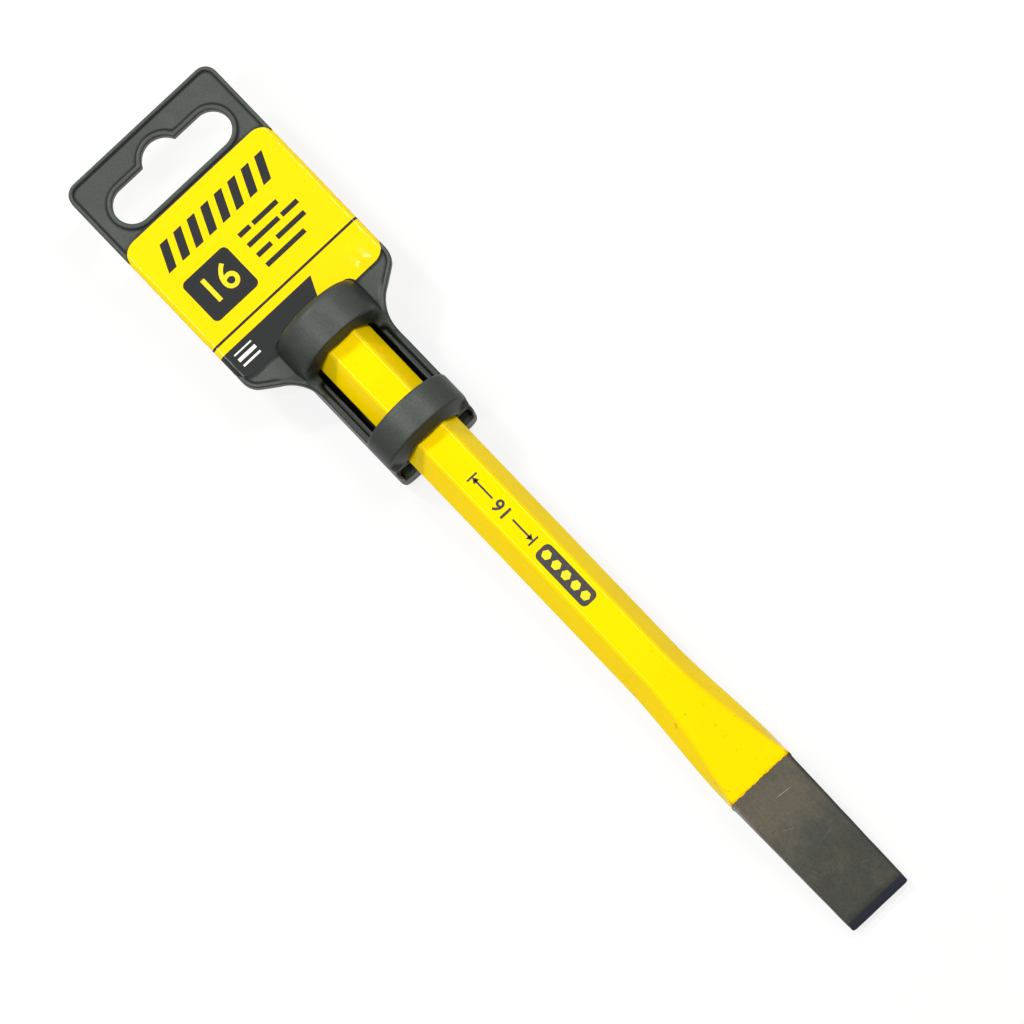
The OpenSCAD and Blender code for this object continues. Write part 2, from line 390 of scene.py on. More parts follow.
def coat_shader(tree, shader, body, rough, bump=None):
    """Links the last nodes of a finish to its shader."""
    for name, last in (("Base Color", body), ("Roughness", rough), ("Normal", bump)):
        if last:
            tree.links.new(result(last), shader.inputs[name])


def per(mm):
    """Texture scale whose pattern repeats about every so many millimetres."""
    return 1 / (mm * MM)


# ---- finishes


def gloss_enamel(colours, sizes):
    """Stoved gloss enamel, dipped: even yellow, faint orange peel, specks of dust, a thin edge."""
    material, tree, place, shader = finish("Gloss stoved enamel", IOR=1.5, Specular_IOR_Level=0.05)
    forge_x, paint_x, _ = starts(sizes, HEAD.x)
    x = node(tree, "SeparateXYZ", {0: place}).outputs[0]
    cloud = node(tree, "TexNoise", {"Vector": place, "Scale": per(14), "Detail": 3.0})
    thin = node(tree, "MapRange", {
        "Value": cloud, "From Min": 0.5, "From Max": 0.85, "To Max": 0.16})
    # Dirt gathers in the last millimetre before the bare steel
    wander = node(tree, "TexNoise", {"Vector": place, "Scale": per(0.9), "Detail": 2.0})
    reach = node(tree, "Math", {0: wander, 1: 1.1 * MM, 2: x}, operation="MULTIPLY_ADD")
    rim = node(tree, "MapRange", {
        "Value": reach, "From Min": paint_x, "From Max": paint_x + 0.7 * MM, "To Max": 0.75})
    worn = node(tree, "Math", {0: thin, 1: rim}, operation="MAXIMUM")
    body = node(tree, "Mix", {0: worn, 6: colours.enamel, 7: colours.enamel_thin}, data_type="RGBA")
    # Irregular flecks of dirt 0.2 to 0.5 mm across, fainter on the bar than on the forged part
    flecks = node(tree, "TexNoise", {
        "Vector": place, "Scale": per(1.5), "Detail": 3.0, "Roughness": 0.6})
    fleck = node(tree, "MapRange", {
        "Value": flecks, "From Min": 0.65, "From Max": 0.73, "To Max": 0.52})
    dirt = node(tree, "MapRange", {
        "Value": x, "From Min": forge_x - 10 * MM, "From Max": forge_x + 5 * MM,
        "To Min": 0.3, "To Max": 1.0})
    strength = node(tree, "Math", {0: fleck, 1: dirt}, operation="MULTIPLY")
    dusty = node(tree, "Mix", {0: strength, 6: body, 7: colours.speck}, data_type="RGBA")
    rough = node(tree, "MapRange", {"Value": cloud, "To Min": 0.1, "To Max": 0.18})
    # Orange peel about 1.3 mm from crest to crest
    peel = node(tree, "TexNoise", {"Vector": place, "Scale": per(1.3), "Detail": 1.0})
    bump = node(tree, "Bump", {"Height": peel, "Strength": 0.05, "Distance": 0.03 * MM})
    coat_shader(tree, shader, dusty, rough, bump)
    return material


def tempered_steel(colours, sizes):
    """Forged tool steel, hardened and tempered: dull scale, lengthwise grain, blued bevels."""
    material, tree, place, shader = finish("Tempered tool steel", Metallic=0.75)
    x, y = node(tree, "SeparateXYZ", {0: place}).outputs[:2]
    _, paint_x, bevel_x = starts(sizes, HEAD.x)
    edge = sizes.blade_width / 2
    # Soft brown patches of 3 to 10 mm, fewer towards the tip, in greener grey scale
    patches = node(tree, "TexNoise", {
        "Vector": place, "Scale": per(10), "Detail": 6.0, "Roughness": 0.66})
    browner = node(tree, "MapRange", {
        "Value": x, "From Min": paint_x + 8 * MM, "From Max": bevel_x,
        "To Min": 0.06, "To Max": -0.15})
    share = node(tree, "Math", {0: patches, 1: browner}, operation="ADD")
    brown = node(tree, "MapRange", {"Value": share, "From Min": 0.4, "From Max": 0.58})
    scale = node(tree, "Mix", {
        0: brown, 6: colours.steel_grey, 7: colours.steel_brown}, data_type="RGBA")
    # The tip was quenched harder and is darker. Mottling of 0.6 mm and polishing lines 0.3 mm wide
    # and about 4 mm long lie over the patches, and one long edge is darkened as painted shade
    mottle = node(tree, "TexNoise", {
        "Vector": place, "Scale": per(0.6), "Detail": 5.0, "Roughness": 0.65})
    along = node(tree, "Mapping", {0: place, "Scale": (0.07, 1.0, 1.0)})
    grain = node(tree, "TexNoise", {
        "Vector": along, "Scale": per(0.3), "Detail": 5.0, "Distortion": 0.4})
    across = node(tree, "Math", {0: mottle, 1: 0.7 * MM, 2: y}, operation="MULTIPLY_ADD")
    for pattern, low, high, start, end in (
        (x, paint_x + 8 * MM, paint_x + 22 * MM, 1.0, 0.74),
        (mottle, 0.3, 0.7, 0.82, 1.18),
        (grain, 0.3, 0.7, 0.92, 1.08),
        (across, edge - 0.5 * MM, edge + 0.1 * MM, 1.0, 0.42),
    ):
        level = node(tree, "MapRange", {
            "Value": pattern, "From Min": low, "From Max": high, "To Min": start, "To Max": end})
        scale = node(tree, "Mix", {
            0: 1.0, 6: scale, 7: level}, data_type="RGBA", blend_type="MULTIPLY")
    # Scratches: place along and across, turn, half length and strength, each about 0.15 mm wide
    for along_mm, across_mm, turn, half, strength in (
        (140.3, 1.5, 84, 2.3, 0.75), (146.5, -3.4, 62, 1.6, 0.18), (152.8, 2.2, 97, 1.9, 0.16),
        (157.5, -5.0, 20, 1.5, 0.15), (162.4, 3.9, 72, 1.2, 0.18),
    ):
        turned = node(tree, "Mapping", {
            0: place, "Location": at(along_mm, across_mm),
            "Rotation": (0.0, 0.0, math.radians(turn))}, vector_type="TEXTURE")
        u, v = node(tree, "SeparateXYZ", {0: turned}).outputs[:2]
        line = strength
        for offset, full, none in ((v, 0.03 * MM, 0.09 * MM), (u, 0.4 * half * MM, half * MM)):
            distance = node(tree, "Math", {0: offset}, operation="ABSOLUTE")
            near = node(tree, "MapRange", {
                "Value": distance, "From Min": full, "From Max": none,
                "To Min": 1.0, "To Max": 0.0})
            line = node(tree, "Math", {0: line, 1: near}, operation="MULTIPLY")
        scale = node(tree, "Mix", {0: line, 6: scale, 7: colours.steel_scratch_and_highlight}, data_type="RGBA")
    # Painted highlight along the other long edge, near the paint line
    highlight_across = node(tree, "MapRange", {
        "Value": across, "From Min": 0.1 * MM - edge, "From Max": 0.7 * MM - edge,
        "To Min": 0.6, "To Max": 0.0})
    highlight_along = node(tree, "MapRange", {
        "Value": x, "From Min": paint_x + 2 * MM, "From Max": paint_x + 9 * MM,
        "To Min": 1.0, "To Max": 0.0})
    highlighted = node(tree, "Math", {0: highlight_across, 1: highlight_along}, operation="MULTIPLY")
    scale = node(tree, "Mix", {0: highlighted, 6: scale, 7: colours.steel_scratch_and_highlight}, data_type="RGBA")
    # The ground bevel starts along a slightly wandering line
    wander = node(tree, "TexNoise", {"Vector": place, "Scale": per(1.6), "Detail": 3.0})
    start = node(tree, "Math", {0: wander, 1: 0.5 * MM, 2: x}, operation="MULTIPLY_ADD")
    ground = node(tree, "MapRange", {
        "Value": start, "From Min": bevel_x + 0.2 * MM, "From Max": bevel_x + 0.32 * MM})
    blued = node(tree, "Mix", {0: ground, 6: scale, 7: colours.cutting}, data_type="RGBA")
    rough = node(tree, "MapRange", {"Value": mottle, "To Min": 0.42, "To Max": 0.62})
    bump = node(tree, "Bump", {"Height": mottle, "Strength": 0.2, "Distance": 0.03 * MM})
    coat_shader(tree, shader, blued, rough, bump)
    return material


def moulded_polypropylene(colours):
    """Charcoal polypropylene from a spark-eroded mould: matt, with painted shade in hollows, on
    flanks and on rails, and edges lighter, partly worn by handling and partly a painted highlight.
    """
    material, tree, place, shader = finish(
        "Moulded polypropylene", IOR=1.49, Specular_IOR_Level=0.18)
    clouds = node(tree, "TexNoise", {
        "Vector": place, "Scale": per(9), "Detail": 4.0, "Roughness": 0.6})
    grit = node(tree, "TexNoise", {"Vector": place, "Scale": per(0.4), "Detail": 2.0})
    hollow = node(tree, "Attribute", attribute_name="hollow").outputs["Fac"]
    facing = node(tree, "Attribute", attribute_name="facing").outputs["Fac"]
    # Cloudy rubbing, a grit of 0.4 mm, and crests of the edges made lighter, partly worn by
    # handling and partly a painted highlight
    share = 0.0
    for pattern, low, high, most in (
        (clouds, 0.45, 0.8, 0.4), (grit, 0.4, 0.75, 0.35), (hollow, -0.03, -0.09, 0.25),
    ):
        part = node(tree, "MapRange", {
            "Value": pattern, "From Min": low, "From Max": high, "To Max": most})
        share = node(tree, "Math", {0: share, 1: part}, operation="ADD", use_clamp=True)
    body = node(tree, "Mix", {
        0: share, 6: colours.plastic, 7: colours.plastic_worn_and_highlight}, data_type="RGBA")
    # Painted shade on the two rails beside the window: between the cup and the mouth,
    # beside the bar and low down
    x, y, z = node(tree, "SeparateXYZ", {0: place}).outputs
    aside = node(tree, "Math", {0: y}, operation="ABSOLUTE")
    rail_shade = 1.0
    for value, none, full in (
        (x, at(5).x, at(9).x), (x, HANGER_HIGH.x - 9 * MM, HANGER_HIGH.x - 10 * MM),
        (aside, 8 * MM, 9 * MM), (z, at(0, 0, 5).z, at(0, 0, 3).z),
    ):
        part = node(tree, "MapRange", {"Value": value, "From Min": none, "From Max": full})
        rail_shade = node(tree, "Math", {0: rail_shade, 1: part}, operation="MULTIPLY")
    # Painted shade: the rails and the steep flanks are darkened, and the foot of every bead and
    # step, about 0.4 mm wide, is darkest
    for pattern, low, high, most, tone in (
        (rail_shade, 0.0, 1.0, 0.6, colours.plastic_flank_shade),
        (facing, 0.97, 0.55, 0.86, colours.plastic_flank_shade),
        (hollow, 0.012, 0.036, 0.88, colours.plastic_hollow_shade),
    ):
        part = node(tree, "MapRange", {
            "Value": pattern, "From Min": low, "From Max": high, "To Max": most})
        body = node(tree, "Mix", {0: part, 6: body, 7: tone}, data_type="RGBA")
    rough = node(tree, "MapRange", {"Value": clouds, "To Min": 0.34, "To Max": 0.5})
    bump = node(tree, "Bump", {"Height": grit, "Strength": 0.3, "Distance": 0.04 * MM})
    coat_shader(tree, shader, body, rough, bump)
    return material


def gloss_label_film(colours):
    """Gloss laminated label: yellow and black print under a clear film that is never quite flat."""
    material, tree, place, shader = finish("Gloss label film", IOR=1.5, Specular_IOR_Level=0.13)
    # Print in millimetres: down from the label's upper edge, across the plate, and off the plate
    millimetres = node(tree, "Mapping", {
        0: place, "Location": (-LABEL_LOW.x / MM, 0.0, -HEAD.z / MM), "Scale": (1 / MM,) * 3})
    down, across, off = node(tree, "SeparateXYZ", {0: millimetres}).outputs
    # A row of bars, as far apart as the gap, leans about its middle, and the dark band leans too
    lean, bars_down, bars_half, gap = 0.45, 7.4, 14.74, 3.9
    lower = node(tree, "Math", {0: down, 1: bars_down}, operation="SUBTRACT")
    leaning = node(tree, "Math", {0: lower, 1: lean, 2: across}, operation="MULTIPLY_ADD")
    bars = node(tree, "Math", {
        0: leaning, 1: 1 / gap, 2: bars_half / gap}, operation="MULTIPLY_ADD")
    bar = node(tree, "Math", {0: bars}, operation="FRACT")
    # Square of the distance past the straight sides of a badge with rounded corners
    badge, badge_corner = 0.0, 1.3
    for value, centre, half in ((across, BADGE_ACROSS, 5.0), (down, BADGE_DOWN, 4.4)):
        offset = node(tree, "Math", {0: value, 1: centre}, operation="SUBTRACT")
        distance = node(tree, "Math", {0: offset}, operation="ABSOLUTE")
        past = node(tree, "Math", {0: distance, 1: half}, operation="SUBTRACT")
        corner = node(tree, "Math", {0: past, 1: 0.0}, operation="MAXIMUM")
        badge = node(tree, "Math", {0: corner, 1: corner, 2: badge}, operation="MULTIPLY_ADD")
    # Four lines of blank type of uneven length, in letters that chance groups into words
    first, pitch, letter_width, indent, white_pitch = 14.2, 2.9, 0.8, -3.2, 1.7
    rows = node(tree, "Math", {0: down, 1: 1 / pitch, 2: -first / pitch}, operation="MULTIPLY_ADD")
    row = node(tree, "Math", {0: rows}, operation="FLOOR")
    stroke = node(tree, "Math", {0: rows}, operation="FRACT")
    letters = node(tree, "Math", {0: across, 1: letter_width}, operation="DIVIDE")
    letter = node(tree, "Math", {0: letters}, operation="FLOOR")
    letter_place = node(tree, "CombineXYZ", {0: letter, 1: row})
    chance = node(tree, "TexWhiteNoise", {0: letter_place})
    swing = node(tree, "Math", {0: row, 1: 1.5}, operation="PINGPONG")
    margin = node(tree, "Math", {0: swing, 1: indent, 2: across}, operation="MULTIPLY_ADD")
    stripes = node(tree, "Math", {0: down, 1: white_pitch}, operation="DIVIDE")
    stripe = node(tree, "Math", {0: stripes}, operation="FRACT")
    tint = node(tree, "TexNoise", {"Vector": place, "Scale": per(16), "Detail": 2.0})
    warm = node(tree, "MapRange", {
        "Value": tint, "From Min": 0.45, "From Max": 0.8, "To Max": 0.08})
    print_tone = node(tree, "Mix", {
        0: warm, 6: colours.film, 7: colours.enamel_thin}, data_type="RGBA")
    # Each mark has its tone and the values between which it lies
    far = 99
    front = (off, 0, far)
    for tone, *limits in (
        (colours.ink, (down, 31.4, far), (leaning, -far, 16)),
        (colours.ink, (down, 28.7, 29.3)),
        (colours.ink, front, (down, 4.4, 10.4), (leaning, -bars_half, bars_half), (bar, -1, 0.56)),
        (colours.ink, front, (badge, -1, badge_corner ** 2)),
        (colours.ink, front, (rows, 0, 4), (stroke, -1, 0.4), (across, 0, far), (margin, -far, 11),
         (chance, 0.14, 2)),
        (colours.paper, front, (across, -18.2, -13.4), (down, 32.8, 36.2), (stripe, -1, 0.5)),
    ):
        mask = 1.0
        for value, low, high in limits:
            inside = node(tree, "Math", {
                0: value, 1: (low + high) / 2, 2: (high - low) / 2}, operation="COMPARE")
            mask = node(tree, "Math", {0: mask, 1: inside}, operation="MULTIPLY")
        print_tone = node(tree, "Mix", {0: mask, 6: print_tone, 7: tone}, data_type="RGBA")
    rough = node(tree, "MapRange", {"Value": tint, "To Min": 0.08, "To Max": 0.18})
    # Grain of the paper under the film, 0.6 mm
    fibre = node(tree, "TexNoise", {"Vector": place, "Scale": per(0.6), "Detail": 3.0})
    bump = node(tree, "Bump", {"Height": fibre, "Strength": 0.08, "Distance": 0.03 * MM})
    coat_shader(tree, shader, print_tone, rough, bump)
    return material


def printing_ink(name, tone, wear):
    """Screen print ink: a thin matt film, a little patchy where the screen laid less."""
    material, tree, place, shader = finish(name, IOR=1.5, Specular_IOR_Level=0.3)
    clouds = node(tree, "TexNoise", {"Vector": place, "Scale": per(0.7), "Detail": 3.0})
    share = node(tree, "MapRange", {
        "Value": clouds, "From Min": 0.55, "From Max": 0.8, "To Max": 0.14})
    body = node(tree, "Mix", {0: share, 6: tone, 7: wear}, data_type="RGBA")
    rough = node(tree, "MapRange", {"Value": clouds, "To Min": 0.3, "To Max": 0.45})
    coat_shader(tree, shader, body, rough)
    return material


# ---- chisel


def smooth(low, high, x):
    """Blend from 0 to 1 between low and high, level at both ends."""
    t = max(0.0, min(1.0, (x - low) / (high - low)))
    return t * t * (3 - 2 * t)


def section(sizes, x):
    """Half width of the faces and the sides, and half thickness of the steel, x from the head."""
    forge_x, paint_x, bevel_x = starts(sizes)
    flare_end = forge_x + sizes.flare_long
    flat, hexagon = sizes.across_flats / 2, sizes.across_flats / math.sqrt(3)
    # The taper eases in over this share of the forged part, and the faces widen late, by this power
    ease, late = 0.25, 1.9
    run = max(0.0, (min(x, bevel_x) - forge_x) / (bevel_x - forge_x))
    taper = (run * run / (2 * ease) if run < ease else run - ease / 2) / (1 - ease / 2)
    half = flat + (sizes.edge_thickness / 2 - flat) * taper
    if x > bevel_x:
        half += (sizes.land - sizes.edge_thickness) / 2 * (x - bevel_x) / sizes.bevel
    side = hexagon + (sizes.flare_width / 2 - hexagon) * smooth(forge_x, flare_end, x)
    narrowed = max(0.0, (x - flare_end) / (sizes.long - flare_end))
    side -= (sizes.flare_width - sizes.blade_width) / 2 * narrowed
    widened = max(0.0, min(1.0, (x - forge_x) / (paint_x - forge_x))) ** late
    face = hexagon / 2 + (side - sizes.bulge - hexagon / 2) * widened
    return face, side, half


def forge_blank(sizes):
    """The steel as forged: a hexagon pulled out from the head to the edge, section by section."""
    forge_x, paint_x, bevel_x = starts(sizes)
    fresh()
    bpy.ops.mesh.primitive_circle_add(
        vertices=6, radius=sizes.across_flats / math.sqrt(3), fill_type="NGON",
        location=HEAD, rotation=(0.0, math.pi / 2, 0.0),
    )
    blank = bpy.context.object
    bpy.ops.object.transform_apply()
    edit(blank)
    flare, blade = np.linspace(forge_x, paint_x, 24), np.linspace(paint_x, bevel_x, 25)[1:]
    before, last = 0.0, section(sizes, 0.0)
    for x in (sizes.head_chamfer, *flare, *blade, sizes.long):
        now = section(sizes, x)
        centre = HEAD + Vector((x, 0.0, 0.0))
        pick("FACE", lambda f: f.normal.x > 0.9 and middle(f).x > HEAD.x + before - SLACK)
        bpy.ops.mesh.extrude_region_move(TRANSFORM_OT_translate={"value": (x - before, 0.0, 0.0)})
        for corners, width in ((True, 0), (False, 1)):
            pick("VERT", lambda v: v.co.x > centre.x - SLACK
                 and (abs(v.co.z - HEAD.z) > SLACK) == corners)
            grow = (1.0, now[width] / last[width], now[2] / last[2])
            bpy.ops.transform.resize(value=grow, center_override=centre)
        before, last = x, now
    pick("VERT", lambda v: v.co.x < HEAD.x + SLACK)
    shrink = 1 - sizes.head_chamfer / (sizes.across_flats / 2)
    bpy.ops.transform.resize(value=(1.0, shrink, shrink), center_override=HEAD)
    bpy.ops.mesh.select_all(action="SELECT")
    bpy.ops.mesh.normals_make_consistent(inside=False)
    # The long ridges are soft on the bar, softer on the flare and sharp on the blade, and the
    # ground bevels stay crisp
    fresh()
    weights = blank.data.attributes.new("bevel_weight_edge", "FLOAT", "EDGE")
    for e in blank.data.edges:
        a, b = (blank.data.vertices[i].co for i in e.vertices)
        if abs(a.x - b.x) > SLACK and min(a.x, b.x) > HEAD.x + SLACK:
            x = (a.x + b.x) / 2 - HEAD.x
            soft = sizes.ridge
            soft += (sizes.flare_ridge - soft) * smooth(forge_x, paint_x - 14 * MM, x)
            soft += (sizes.blade_ridge - soft) * smooth(paint_x - 6 * MM, paint_x, x)
            soft = sizes.bevel_ridge if x > bevel_x else soft
            weights.data[e.index].value = soft / sizes.flare_ridge
    modify(blank, "BEVEL", width=sizes.flare_ridge, segments=4, limit_method="WEIGHT",
           use_clamp_overlap=False)
    return blank


class COLDCHISEL_OT_forge_steel(bpy.types.Operator):
    """Forges the steel and leaves its blade a little uneven"""

    bl_idname = "cold_chisel.forge_steel"
    bl_label = "Forge the steel"

    def execute(self, context):
        settings = context.scene.cold_chisel
        sizes = settings.chisel
        steel = forge_blank(sizes)
        paint_x = starts(sizes, HEAD.x)[1]
        # Strips 1.25 mm wide along the blade, for its unevenness
        edit(steel)
        for i in range(-6, 7):
            pick("FACE", lambda f: middle(f).x > paint_x - 1 * MM)
            bpy.ops.mesh.bisect(plane_co=at(0, i * 1.25), plane_no=(0.0, 1.0, 0.0))
        # The corners of the cutting edge are knocked off by use
        tip, half = HEAD.x + sizes.long, sizes.blade_width / 2
        for inward in (0.95, 0.6, 0.3):
            for side in (-1, 1):
                pick("FACE", lambda f: middle(f).x > tip - sizes.bevel)
                bpy.ops.mesh.bisect(
                    plane_co=at(0, side * (half / MM - inward)), plane_no=(0.0, 1.0, 0.0))
        for inward, back in ((0.75, 0.06), (0.45, 0.14), (0.15, 0.4)):
            pick("VERT", lambda v: v.co.x > tip - 0.9 * MM and abs(v.co.y) > half - inward * MM)
            bpy.ops.transform.translate(value=(-back * MM, 0.0, 0.0))
        fresh()
        bare = group(steel, "bare", lambda co: co.x > paint_x + 0.5 * MM)
        roughen(steel, "forging unevenness", 5 * MM,
                strength=0.12 * MM, mid_level=1.0, vertex_group=bare)
        modify(steel, "WEIGHTED_NORMAL", keep_sharp=False, weight=60)
        finish_piece(steel, "steel_blade", "chisel", "forged_steel",
                     tempered_steel(settings.colours, sizes), "chisel_forging")
        return {"FINISHED"}


class COLDCHISEL_OT_dip_enamel(bpy.types.Operator):
    """Coats the bar with enamel up to a ragged line on the blade"""

    bl_idname = "cold_chisel.dip_enamel"
    bl_label = "Dip the enamel"

    def execute(self, context):
        settings = context.scene.cold_chisel
        sizes = settings.chisel
        coat = forge_blank(sizes)
        paint = at(starts(sizes)[1] / MM)
        edit(coat)
        bpy.ops.mesh.select_all(action="SELECT")
        bpy.ops.mesh.bisect(plane_co=paint, plane_no=(1.0, 0.0, 0.0), clear_outer=True)
        pick("EDGE", lambda e: e.is_boundary and e.calc_length() > 1 * MM)
        bpy.ops.mesh.subdivide(number_cuts=48)
        fresh()
        edge = group(coat, "paint edge", lambda co: co.x > paint.x - SLACK)
        roughen(coat, "ragged enamel edge", 0.8 * MM,
                direction="X", strength=sizes.ragged, mid_level=0.5, vertex_group=edge)
        modify(coat, "SOLIDIFY", thickness=sizes.coat, offset=1.0, use_even_offset=True)
        modify(coat, "WEIGHTED_NORMAL", keep_sharp=False, weight=60)
        finish_piece(coat, "gloss_enamel", "chisel", "yellow_enamel",
                     gloss_enamel(settings.colours, sizes), "enamel_coat")
        return {"FINISHED"}


# ---- hanger


def share_in_block(place, low, high, near, far, under, over, fade):
    """How far, from 0 to 1, a place lies in a block: along, aside and up, in mm from the head."""
    x, y, z = (place - HEAD) / MM
    inside = min(x - low, high - x, abs(y) - near, far - abs(y), z - under, over - z)
    return max(0.0, min(1.0, inside / fade))


class COLDCHISEL_OT_mould_hanger(bpy.types.Operator):
    """Moulds the hanger, with every edge rounded as the mould leaves it"""

    bl_idname = "cold_chisel.mould_hanger"
    bl_label = "Mould the hanger"

    def execute(self, context):
        settings = context.scene.cold_chisel
        sizes = settings.hanger
        shell = duplicate(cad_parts["hanger"])
        edit(shell)
        bpy.ops.mesh.select_all(action="SELECT")
        bpy.ops.mesh.remove_doubles(threshold=0.001 * MM)
        fresh()
        modify(shell, "REMESH", mode="VOXEL", voxel_size=sizes.voxel, use_smooth_shade=True)
        modify(shell, "SMOOTH", factor=0.5, iterations=sizes.rounds)
        # The beads are softer than the plate, the socket and its rails are softer still, and the
        # cup and the mouth run into the plate, the rails and the lip in fillets
        plate_low, lip, label_low, label_high = (
            (p.x - HEAD.x) / MM for p in (HANGER_LOW, HANGER_HIGH, LABEL_LOW, LABEL_HIGH))
        for name, rounds, *block in (
            ("plate beads", sizes.bead_rounds, plate_low - 1, label_low + 1, -5, 25, 0.95, 3, 0.3),
            ("shoulder beads", sizes.bead_rounds, label_high - 1, 5, 12, 25, 0.95, 3, 0.3),
            ("socket", sizes.socket_rounds, label_high, lip + 4, -5, 16, -15, 15, 2.5),
            ("rails", sizes.rail_rounds, 5.5, lip - 9.5, 8.5, 13, -1, 4, 0.5),
            ("cup foot", sizes.foot_rounds, label_high, 14, 7.4, 15.3, -2.3, 5.3, 1.5),
            ("window corners", sizes.corner_rounds, 3.6, 10.1, 6.2, 12, -0.4, 9.6, 1.2),
            ("mouth foot", sizes.corner_rounds, lip - 4.4, lip + 3, 6.6, 14, -6, 3.6, 1.2),
        ):
            chosen = group(shell, name, lambda co: share_in_block(co, *block))
            modify(shell, "SMOOTH", factor=0.5, iterations=rounds, vertex_group=chosen)
        mark_hollows(shell, sizes.voxel)
        modify(shell, "DECIMATE", ratio=0.28)
        finish_piece(shell, "moulded_hanger", "hanger", "hanger_plastic",
                     moulded_polypropylene(settings.colours), "hanger")
        return {"FINISHED"}


# ---- label


def cut_film(film, operation, place, size, corner, segments, chosen):
    """Cuts a film with a block whose upright edges are rounded where they are chosen."""
    bpy.ops.mesh.primitive_cube_add(size=1.0, location=place, scale=size)
    block = bpy.context.object
    bpy.ops.object.transform_apply()
    edit(block)
    pick("EDGE", lambda e: span(e).z > 1 * MM and chosen(middle(e)))
    bpy.ops.mesh.bevel(offset=corner, segments=segments, affect="EDGES")
    fresh()
    modify(film, "BOOLEAN", object=block, operation=operation, solver="MANIFOLD")
    bpy.data.objects.remove(block)


class COLDCHISEL_OT_wrap_label(bpy.types.Operator):
    """Wraps the printed film round the plate, with rounded corners and creased folds"""

    bl_idname = "cold_chisel.wrap_label"
    bl_label = "Wrap the label"

    def execute(self, context):
        settings = context.scene.cold_chisel
        sizes = settings.label
        size = LABEL_HIGH - LABEL_LOW
        centre = (LABEL_HIGH + LABEL_LOW) / 2
        fresh()
        bpy.ops.mesh.primitive_cube_add(size=1.0, location=centre, scale=size)
        film = context.object
        bpy.ops.object.transform_apply()
        edit(film)
        pick("EDGE", lambda e: span(e).x > 1 * MM)
        bpy.ops.mesh.bevel(offset=size.z * 0.499, segments=10, affect="EDGES", clamp_overlap=False)
        pick("FACE", lambda f: abs(f.normal.x) > 0.9)
        bpy.ops.mesh.delete(type="ONLY_FACE")
        pick("EDGE", lambda e: span(e).x > 1 * MM)
        bpy.ops.mesh.subdivide(number_cuts=63)
        pick("EDGE", lambda e: span(e).y > 10 * MM)
        bpy.ops.mesh.subdivide(number_cuts=47)
        bpy.ops.mesh.select_all(action="SELECT")
        bpy.ops.mesh.normals_make_consistent(inside=False)
        fresh()
        folds = group(film, "folds", lambda co: abs(co.y) > size.y / 2 - 1.6 * MM)
        roughen(film, "film wave", 9 * MM, strength=sizes.wave, mid_level=0.0)
        roughen(film, "fold creases", 1.4 * MM,
                strength=sizes.crinkle, mid_level=0.4, vertex_group=folds)
        # Air under the film by one corner at the cup's end, where the gloss catches the light
        edit(film)
        lifted = at(*LIFTED)
        pick("VERT", lambda v: v.co.z > centre.z
             and abs(v.co.x - lifted.x) < 1.6 * MM and abs(v.co.y - lifted.y) < 0.5 * MM)
        bpy.ops.transform.translate(
            value=(0.0, 0.0, sizes.lift), use_proportional_edit=True,
            proportional_edit_falloff="SMOOTH", proportional_size=2.5 * MM)
        fresh()
        modify(film, "SOLIDIFY", thickness=sizes.film, offset=-1.0)
        # Corners rounded as the die leaves them, and a gap where the cup rises through the plate
        die = (size.x - 0.04 * MM, size.y + 0.3 * MM, 4 * size.z)
        cut_film(film, "INTERSECT", centre, die, sizes.corner, 10, lambda upright: True)
        cup_x, cup = at(CUP_END).x, (20 * MM, 2 * CUP_HALF * MM, 30 * MM)
        cut_film(film, "DIFFERENCE", (cup_x + cup[0] / 2, 0.0, centre.z), cup, 2.4 * MM, 8,
                 lambda upright: upright.x < cup_x + SLACK)
        only(film)
        bpy.ops.object.shade_smooth_by_angle(angle=math.radians(40))
        finish_piece(film, "label_film", "hanger", "label_film",
                     gloss_label_film(settings.colours), "wrap_label")
        return {"FINISHED"}


# ---- prints


def figure(text, height, bold, place, turn):
    """A plain number as a flat mesh, fattened all round, centred at a place and turned about Z."""
    fresh()
    bpy.ops.object.text_add(location=place, rotation=(0.0, 0.0, turn))
    number = bpy.context.object
    number.data.body = text
    number.data.align_x, number.data.align_y = "CENTER", "CENTER"
    number.data.size = (height - 2 * bold) / CAP_HEIGHT
    number.data.offset = bold
    number.data.space_character = 1.0 + 3 * bold / height
    bpy.ops.object.convert(target="MESH")
    number = bpy.context.object
    bpy.ops.object.transform_apply()
    return number


def patch(place, size, corner=0.0):
    """A flat rectangle, its corners rounded where a radius is given."""
    fresh()
    bpy.ops.mesh.primitive_plane_add(size=1.0, location=place)
    flat = bpy.context.object
    flat.scale = (size[0] * MM, size[1] * MM, 1.0)
    bpy.ops.object.transform_apply()
    if corner:
        edit(flat)
        bpy.ops.mesh.select_all(action="SELECT")
        bpy.ops.mesh.bevel(offset=corner * MM, segments=5, affect="VERTICES")
        fresh()
    return flat


def polygon(place, sides, radius, turn=0.0):
    """A flat regular polygon."""
    fresh()
    bpy.ops.mesh.primitive_circle_add(
        vertices=sides, radius=radius * MM, fill_type="NGON",
        location=place, rotation=(0.0, 0.0, turn))
    bpy.ops.object.transform_apply()
    return bpy.context.object


def ink_film(pieces):
    """Joins flat shapes and gives them the thickness of a print."""
    film = join(pieces)
    edit(film)
    bpy.ops.mesh.select_all(action="SELECT")
    bpy.ops.mesh.remove_doubles(threshold=0.001 * MM)
    fresh()
    modify(film, "SOLIDIFY", thickness=INK * MM, offset=-1.0)
    only(film)
    bpy.ops.object.shade_flat()
    return film


